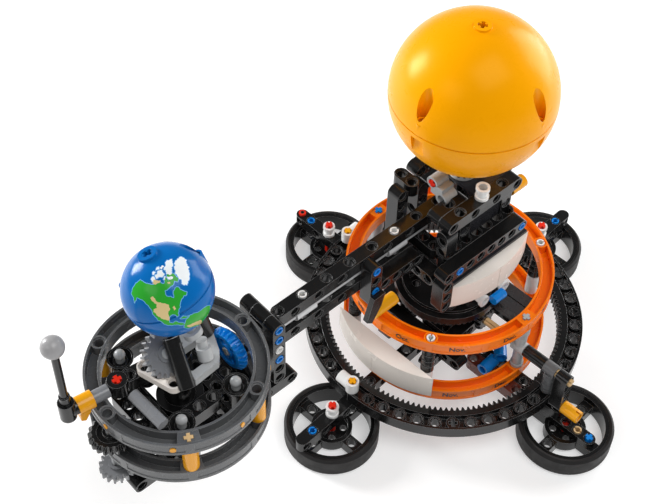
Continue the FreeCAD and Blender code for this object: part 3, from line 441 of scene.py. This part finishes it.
def print_patch(name, line, latitude, heading, lift, material):
    """A thin printed patch: degrees east and north of a centre, laid on the globe."""
    lat, lon = math.radians(latitude), math.radians(heading)
    middle = Vector((
        math.cos(lat) * math.cos(lon),
        math.cos(lat) * math.sin(lon),
        math.sin(lat),
    ))
    north = (Vector((0, 0, 1)) - middle * middle.z).normalized()
    east = north.cross(middle)
    xs = [p.x for p in line]
    ys = [p.y for p in line]
    inner = []
    x = min(xs)
    while x < max(xs):
        y = min(ys)
        while y < max(ys):
            inner.append(Vector((x + PATCH_NUDGE[0], y + PATCH_NUDGE[1])))
            y += PATCH_STEP
        x += PATCH_STEP
    points = list(line) + inner
    edges = [(k, (k + 1) % len(line)) for k in range(len(line))]
    wells = well_outlines(middle, north, east)
    for rim in wells:
        start = len(points)
        points += rim
        edges += [(start + k, start + (k + 1) % len(rim)) for k in range(len(rim))]
    verts, _, faces, *_ = delaunay_2d_cdt(points, edges, [], 0, 1e-5)
    kept = []
    for face in faces:
        centre = sum((verts[k] for k in face), Vector((0, 0))) / len(face)
        if inside(centre, line) and not any(inside(centre, rim) for rim in wells):
            kept.append(list(face))
    used = sorted({k for face in kept for k in face})
    number = {k: i for i, k in enumerate(used)}
    verts = [verts[k] for k in used]
    faces = [[number[k] for k in face] for face in kept]
    radius = GLOBE_R + lift * MM
    place = []
    for v in verts:
        reach = math.radians(v.length)
        way = (east * v.x + north * v.y) / v.length if v.length > 1e-9 else east
        local = middle * math.cos(reach) + way * math.sin(reach)
        place.append(GLOBE + GLOBE_TURN @ local * radius)
    mesh = bpy.data.meshes.new(name)
    mesh.from_pydata(place, [], faces)
    for poly in mesh.polygons:
        poly.use_smooth = True
    mesh.materials.append(MATS[material])
    mesh.update()
    flat = bmesh.new()
    flat.from_mesh(mesh)
    outward = sum(((f.calc_center_median() - GLOBE).dot(f.normal) for f in flat.faces))
    if outward < 0:
        bmesh.ops.reverse_faces(flat, faces=flat.faces)
    flat.to_mesh(mesh)
    flat.free()
    obj = bpy.data.objects.new(name, mesh)
    bpy.context.scene.collection.objects.link(obj)
    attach(obj, "earth")


# Outlines in degrees east and north of each map centre on the globe.
WEST = (21.0, -117.0)
AFRICA = (-14.0, 14.0)
ASIA = (10.0, 64.0)
AUSTRALIA = (-24.0, 108.0)
LAND = {
    "north_america": (WEST, "land", [
        (-37, 15), (-36, 20), (-38, 26), (-34, 31), (-27, 36), (-19, 38), (-15, 33), (-10, 29),
        (-5, 26), (0, 25), (3, 27), (5, 24), (8, 22), (10, 26), (13, 28), (14, 23), (17, 25),
        (20, 21), (18, 17), (14, 16), (11, 15), (8, 14), (5, 14), (4, 10), (6, 6), (9, 5),
        (11, 2), (13, 5), (14, 9), (17, 11), (20, 12), (22, 8), (25, 4), (28, 1), (26, -2),
        (23, -1), (21, -3), (18, -4), (16, -6), (14, -9), (13, -12), (10, -14), (8, -17),
        (7, -21), (5, -22), (4, -18), (1, -16), (-3, -17), (-6, -21), (-7, -25), (-4, -28),
        (0, -27), (2, -29), (5, -33), (8, -37), (7, -40), (3, -37), (-1, -33), (-6, -31),
        (-11, -28), (-14, -23), (-18, -17), (-19, -11), (-20, -6), (-19, 0), (-21, 7), (-24, 13),
        (-28, 17), (-31, 19), (-34, 16), (-38, 13),
    ]),
    "south_america": (WEST, "land", [
        (7, -40), (10, -36), (14, -32), (19, -29), (24, -30), (29, -33), (35, -34), (42, -35),
        (48, -38), (52, -45), (50, -55), (46, -65), (41, -74), (36, -84), (31, -92), (28, -86),
        (26, -76), (22, -64), (14, -55), (8, -50), (5, -45),
    ]),
    "baffin_shore": (WEST, "land", [
        (14, 29), (17, 31), (21, 30), (24, 26), (26, 20), (24, 17), (21, 19), (18, 22), (15, 25),
    ]),
    "cuba": (WEST, "land", [(7, -26), (11, -25), (15, -28), (18, -29), (14, -30), (10, -28)]),
    "africa": (AFRICA, "land", [
        (-16, 26), (-6, 30), (6, 28), (16, 26), (24, 18), (30, 10), (38, 9), (34, 0), (28, -8),
        (27, -20), (20, -30), (12, -36), (6, -28), (4, -14), (0, -4), (-10, -2), (-18, 4),
        (-22, 14),
    ]),
    "europe": (AFRICA, "land", [
        (-14, 33), (-6, 32), (-2, 38), (6, 34), (10, 39), (18, 37), (26, 40), (32, 50), (24, 60),
        (14, 64), (8, 58), (2, 50), (-6, 46), (-12, 40),
    ]),
    "asia": (ASIA, "land", [
        (-42, 10), (-34, -2), (-28, -14), (-20, -4), (-14, -8), (-8, -22), (-2, -10), (6, -14),
        (10, -24), (16, -12), (24, -4), (30, 6), (38, 12), (46, 22), (38, 30), (26, 34), (10, 36),
        (-8, 36), (-24, 32), (-38, 26),
    ]),
    "australia": (AUSTRALIA, "land", [
        (-16, 2), (-8, 10), (0, 8), (4, 12), (8, 4), (14, -4), (12, -14), (4, -18), (-4, -12),
        (-14, -12),
    ]),
    "greenland": (WEST, "ice", [
        (29, 10), (32, 8), (35, 12), (39, 14), (42, 19), (43, 23), (46, 27), (45, 32), (48, 37),
        (46, 42), (42, 45), (37, 44), (33, 42), (30, 37), (27, 33), (25, 28), (27, 22), (29, 17),
        (27, 13),
    ]),
    "ellesmere": (WEST, "ice", [
        (19, 45), (24, 47), (30, 46), (28, 40), (24, 36), (22, 31), (18, 29), (15, 32), (16, 38),
    ]),
    "victoria": (WEST, "ice", [(1, 35), (6, 39), (12, 38), (13, 33), (9, 30), (5, 32), (2, 31)]),
    "parry": (WEST, "ice", [(10, 42), (14, 44), (16, 41), (12, 39)]),
    "melville": (WEST, "ice", [(4, 41), (7, 44), (10, 44), (9, 40)]),
    "prince": (WEST, "ice", [(-1, 38), (2, 41), (4, 39), (1, 37)]),
    "devon": (WEST, "ice", [(14, 38), (19, 41), (20, 38), (16, 36)]),
    "bylot": (WEST, "ice", [(17, 31), (20, 33), (22, 30), (19, 28)]),
    "foxe": (WEST, "ice", [(9, 27), (11, 30), (13, 29), (11, 26)]),
    "banks": (WEST, "ice", [(-5, 33), (-1, 35), (0, 31), (-3, 29)]),
    "baffin": (WEST, "ice", [(14, 28), (18, 27), (21, 24), (17, 23), (14, 25)]),
    "arctic_plain": (WEST, "desert", [(-5, 28), (-2, 31), (2, 29), (6, 27), (3, 25), (-2, 25)]),
    "rockies": (WEST, "desert", [
        (-14, 13), (-11, 14), (-9, 8), (-6, 4), (-1, 1), (3, -3), (2, -8), (-1, -10), (-3, -15),
        (-6, -22), (-9, -19), (-13, -16), (-16, -10), (-18, -4), (-16, -1), (-12, -1), (-10, 3),
        (-13, 8),
    ]),
    "prairie": (WEST, "desert", [(5, -8), (8, -7), (8, -11), (5, -12)]),
    "shield": (WEST, "desert", [(12, 22), (15, 21), (15, 19), (12, 20)]),
    "andes": (WEST, "desert", [
        (9, -44), (14, -46), (20, -47), (27, -50), (30, -58), (32, -74), (30, -84), (28, -74),
        (24, -62), (16, -54), (10, -49),
    ]),
    "sahara": (AFRICA, "desert", [
        (-16, 20), (-6, 26), (6, 24), (18, 22), (24, 14), (14, 10), (0, 12), (-12, 12),
    ]),
    "gobi": (ASIA, "desert", [(-20, 8), (-8, 12), (6, 12), (16, 8), (6, 2), (-8, 0)]),
    "outback": (AUSTRALIA, "desert", [(-11, 0), (-2, 4), (6, 0), (4, -8), (-6, -8)]),
}
# How far each print stands off the globe, in mm.
LIFT = {"shore": 0.03, "land": 0.05, "ice": 0.055, "desert": 0.075}
ROUGHNESS = {"land": 0.16, "ice": 0.26, "desert": 0.16}
FIRST_SEED = 100
SHORE_WIDTH = 0.9           # degrees
NO_SHORE = ("baffin", "parry")
for number, (place_name, (middle, colour, points)) in enumerate(LAND.items()):
    line = rough_coast(points, ROUGHNESS[colour], FIRST_SEED + number)
    print_patch(f"print_{place_name}", line, *middle, LIFT[colour], colour)
    if colour != "desert" and place_name not in NO_SHORE:
        band = swell(line, SHORE_WIDTH)
        print_patch(f"shore_{place_name}", band, *middle, LIFT["shore"], "shore")

# ------------------------------------------------------------------ small turned and moulded pieces

def basis(axis):
    """Rotation that stands +Z along an axis."""
    return Vector((0, 0, 1)).rotation_difference(Vector(axis).normalized()).to_matrix()


def prisms(name, outlines, base, axis, length, material, body, turn=0.0):
    """One piece made of upright prisms; outlines are in mm about the base point."""
    mesh = bmesh.new()
    frame_turn = basis(axis) @ Matrix.Rotation(turn, 3, "Z")
    for outline in outlines:
        low, high = [], []
        for row, z in ((low, 0), (high, length)):
            for x, y in outline:
                point = frame_turn @ Vector((x, y, z))
                row.append(mesh.verts.new(Vector(base) * MM + point * MM))
        count = len(outline)
        mesh.faces.new(list(reversed(low)))
        mesh.faces.new(high)
        for k in range(count):
            mesh.faces.new((low[k], low[(k + 1) % count], high[(k + 1) % count], high[k]))
    bmesh.ops.recalc_face_normals(mesh, faces=mesh.faces)
    data = bpy.data.meshes.new(name)
    mesh.to_mesh(data)
    mesh.free()
    data.materials.append(MATS[material])
    obj = bpy.data.objects.new(name, data)
    bpy.context.scene.collection.objects.link(obj)
    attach(obj, body)
    return obj


def circle(radius, count=40):
    """A round outline."""
    turns = [2 * math.pi * k / count for k in range(count)]
    return [(radius * math.cos(t), radius * math.sin(t)) for t in turns]


def socket_corners(bore=2.42, half=0.9):
    """The four corners that turn a round bore into a cross socket."""
    reach = math.sqrt(bore * bore - half * half)
    start = math.atan2(half, reach)
    outlines = []
    for quarter in range(4):
        outline = [(half, half)]
        for k in range(9):
            angle = start + (math.pi / 2 - 2 * start) * k / 8
            outline.append((bore * math.cos(angle), bore * math.sin(angle)))
        c, s = math.cos(quarter * math.pi / 2), math.sin(quarter * math.pi / 2)
        outlines.append([(x * c - y * s, x * s + y * c) for x, y in outline])
    return outlines


def cross_outline(reach=2.35, half=0.88):
    """The outline of a cross axle."""
    return [
        (reach, -half), (reach, half), (half, half), (half, reach),
        (-half, reach), (-half, half), (-reach, half), (-reach, -half),
        (-half, -half), (-half, -reach), (half, -reach), (half, -half),
    ]


# Cross sockets in the two poles, and the axles that end short of them.
UP = (0, 0, 1)
SUN_TOP = SUN_Z + SUN_POLE
prisms("sun_pole_socket", socket_corners(), (0, 0, SUN_TOP - 4.0), UP, 3.9, "sun", "sun", 0.5)
sun_axle = prisms("sun_axle_short", [cross_outline()], (0, 0, 146), UP, 62, "dark_grey", "sun")
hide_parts("sun_axle")
EARTH_TOP = GLOBE / MM + POLE * GLOBE_POLE
prisms("earth_pole_socket", socket_corners(), EARTH_TOP - POLE * 3.6, POLE, 3.5, "earth", "earth",
       0.3)
earth_foot = GLOBE / MM - POLE * 29.5
earth_axle = prisms("earth_axle_short", [circle(2.38)], earth_foot, POLE, 44, "light_grey", "earth")
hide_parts("earth_axle")

# A short red pin on the end of the +Y leg.
LEG_TIP_Y = 120
prisms("leg_tip_pin", [circle(2.36)], (0, LEG_TIP_Y, 21.9), UP, 1.6, "red", "base")
# A thin black disc on the pin's top, painted shade in place of the open bore that the solid pin
# lacks.
prisms("leg_tip_bore_painted_shade", [circle(1.3)], (0, LEG_TIP_Y, 23.4), UP, 0.15, "black", "base")

# Moon phase marks round the upper phase ring: amber discs showing more or less of their face.
# LIT gives the dark side's edge, from 1 (full) to -1 (new, which leaves no mark).
LIT = (1.0, 0.55, 0.0, -0.55, -1.0, -0.55, 0.0, 0.55)
FIRST_MARK = 226            # degrees
MARK_STEP = 45
MARK_RADIUS = 1.55
MARK_Z = 151.0
MARK_FRONT = 44.12          # mm from the stage axis
MARK_REAR = 43.6
MARK_POINTS = 24
for index, lit in enumerate(LIT):
    if lit <= -1.0:
        continue
    heading = math.radians(FIRST_MARK + MARK_STEP * index)
    outline = []
    for k in range(MARK_POINTS):
        angle = -math.pi / 2 + math.pi * k / (MARK_POINTS - 1)
        outline.append((MARK_RADIUS * math.cos(angle), MARK_RADIUS * math.sin(angle)))
    for k in range(1, MARK_POINTS - 1):
        angle = math.pi / 2 - math.pi * k / (MARK_POINTS - 1)
        outline.append((-lit * MARK_RADIUS * math.cos(angle), MARK_RADIUS * math.sin(angle)))
    if index > 4:  # the marks after the new moon are lit from the other side
        outline = [(-x, y) for x, y in reversed(outline)]
    data = bmesh.new()
    front = []
    rear = []
    for x, y in outline:
        for reach, row in ((MARK_FRONT, front), (MARK_REAR, rear)):
            angle = heading + x / reach
            row.append(data.verts.new(Vector((
                STAGE.x + reach * math.cos(angle),
                STAGE.y + reach * math.sin(angle),
                MARK_Z + y,
            )) * MM))
    data.faces.new(front)
    count = len(front)
    for k in range(count):
        data.faces.new((front[k], front[k - 1], rear[k - 1], rear[k]))
    bmesh.ops.recalc_face_normals(data, faces=data.faces)
    mesh = bpy.data.meshes.new(f"phase_mark_{index + 1}")
    data.to_mesh(mesh)
    data.free()
    mesh.materials.append(MATS["amber"])
    mark = bpy.data.objects.new(f"phase_mark_{index + 1}", mesh)
    bpy.context.scene.collection.objects.link(mark)
    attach(mark, "arm")

# ------------------------------------------------------------------ floor, lights, camera

FLOOR = 6.0
FLOOR_GREY = 0.72
FLOOR_GLOW = 0.38
WORLD_GLOW = 0.17
LIGHTS_AIM = (-0.05, 0.0, 0.12)


def around(azimuth, elevation, distance):
    """A point round the object, by compass heading and height."""
    a, e = math.radians(azimuth), math.radians(elevation)
    way = Vector((math.cos(a) * math.cos(e), math.sin(a) * math.cos(e), math.sin(e)))
    return way * distance


def soft_box(name, location, size, power):
    """A white studio light that faces the object."""
    light = bpy.data.lights.new(name, "AREA")
    light.shape = "RECTANGLE"
    light.size, light.size_y = size
    light.energy = power
    obj = bpy.data.objects.new(name, light)
    bpy.context.scene.collection.objects.link(obj)
    obj.location = location
    aim = Vector(LIGHTS_AIM) - location
    obj.rotation_euler = aim.to_track_quat("-Z", "Y").to_euler()


floor_mesh = bpy.data.meshes.new("studio_floor")
corners = [(-FLOOR, -FLOOR, 0), (FLOOR, -FLOOR, 0), (FLOOR, FLOOR, 0), (-FLOOR, FLOOR, 0)]
floor_mesh.from_pydata(corners, [], [(0, 1, 2, 3)])
floor = bpy.data.objects.new("studio_floor", floor_mesh)
bpy.context.scene.collection.objects.link(floor)
floor_mat, _, floor_bsdf = new_material("studio_floor")
floor_bsdf.inputs["Base Color"].default_value = (FLOOR_GREY, FLOOR_GREY, FLOOR_GREY, 1)
floor_bsdf.inputs["Emission Color"].default_value = (1, 1, 1, 1)
floor_bsdf.inputs["Emission Strength"].default_value = FLOOR_GLOW
floor_bsdf.inputs["Roughness"].default_value = 0.9
floor_bsdf.inputs["Specular IOR Level"].default_value = 0.0
floor_mesh.materials.append(floor_mat)

world = bpy.data.worlds.new("studio")
bpy.context.scene.world = world
world.use_nodes = True
sky = world.node_tree.nodes["Background"]
sky.inputs["Color"].default_value = (1, 1, 1, 1)
sky.inputs["Strength"].default_value = WORLD_GLOW

# Name, place, width and height in metres, and power in watts.
soft_box("key_back_left", around(112, 24, 1.3), (0.36, 0.5), 15.0)
soft_box("key_back_right", around(-12, 20, 1.3), (0.9, 0.9), 14.0)
soft_box("overhead", around(-100, 68, 1.6), (1.0, 0.8), 12.0)
soft_box("front_left", around(178, 42, 1.6), (0.7, 0.5), 2.5)

# The camera's numbers come from a fit of the object's rings, wheels, globes and beam holes.
LENS = 70.17
SHIFT = (0.0599, -0.0594)
CAMERA_AIM = Vector((-0.095476, 0.030182, 0.172255))
CAMERA_DISTANCE = 0.654218
AZIMUTH = math.radians(-44.84)
ELEVATION = math.radians(48.61)
right = Vector((math.cos(AZIMUTH), math.sin(AZIMUTH), 0))
back = Vector((
    math.sin(AZIMUTH) * math.cos(ELEVATION),
    -math.cos(AZIMUTH) * math.cos(ELEVATION),
    math.sin(ELEVATION),
))
up = back.cross(right)
camera_data = bpy.data.cameras.new("camera")
camera_data.lens = LENS
camera_data.shift_x, camera_data.shift_y = SHIFT
camera_data.clip_start = 0.02
camera = bpy.data.objects.new("camera", camera_data)
bpy.context.scene.collection.objects.link(camera)
turn = Matrix((right, up, back)).transposed().to_4x4()
camera.matrix_world = Matrix.Translation(CAMERA_AIM + back * CAMERA_DISTANCE) @ turn
bpy.context.scene.camera = camera
bpy.context.scene.view_settings.view_transform = "Standard"
bpy.context.scene.view_settings.exposure = 0.0
